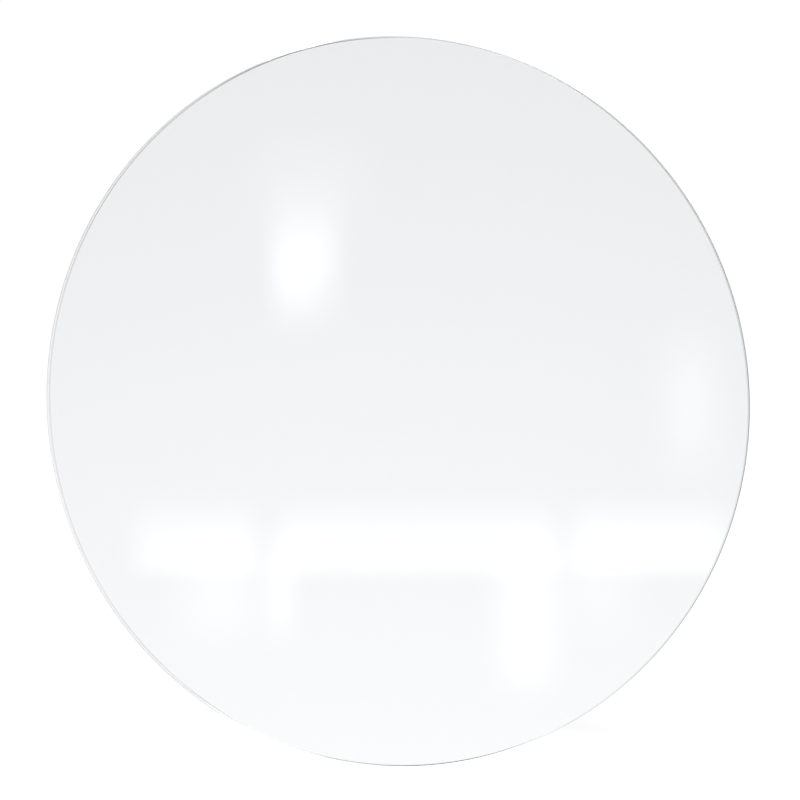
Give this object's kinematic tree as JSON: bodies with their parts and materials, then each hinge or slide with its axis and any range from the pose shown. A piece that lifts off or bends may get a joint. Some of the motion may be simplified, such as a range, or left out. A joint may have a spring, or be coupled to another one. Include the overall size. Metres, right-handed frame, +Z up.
{
  "type": "countertop mirror",
  "caption": "Frameless round mirror on a folding easel leg: silvered glass bonded to a pressed steel back plate, with a friction hinge, a forked leg and rubber feet.",
  "frame": {"origin": "middle of the front foot's sole, on the counter", "axes": "+Z up, the mirror faces -Y and leans back 15 degrees, +X across the mirror"},
  "size_m": [0.3, 0.1162, 0.2916],
  "materials": {
    "glass": "polished, ground edge",
    "silver": "silvered",
    "paint": "flat mirror-back paint",
    "film": "satin film",
    "foam": "closed-cell foam",
    "plate_coat": "fine-texture powder coat, mid grey",
    "leg_coat": "fine-texture powder coat, graphite",
    "zinc": "bright zinc plate",
    "stainless": "turned stainless",
    "spring_steel": "phosphated spring steel",
    "nylon": "natural nylon",
    "nylon_blue": "dyed nylon",
    "rubber": "matt moulded rubber"
  },
  "bodies": {
    "mirror": {"mirror_glass": "glass", "silver_layer": "silver", "backing_paint": "paint", "safety_film": "film", "tape_pads": "foam", "back_plate": "plate_coat", "clinch_nuts": "zinc", "hinge_bracket": "zinc", "bracket_screws": "stainless", "hinge_bolt": "stainless", "disc_springs": "spring_steel", "flat_washer": "stainless", "lock_nut": "zinc", "nut_insert": "nylon_blue", "front_foot": "rubber", "bumper_pads": "rubber"},
    "leg": {"support_leg": "leg_coat", "pivot_bushes": "nylon", "spacer_sleeve": "zinc", "toe_caps": "rubber"}
  },
  "joints": [
    {"name": "leg_hinge", "type": "hinge", "parent": "mirror", "child": "leg", "pos_m": [0, 0.05939, 0.19454], "axis": [1, 0, 0], "range_deg": [-25, 6.5]}
  ]
}
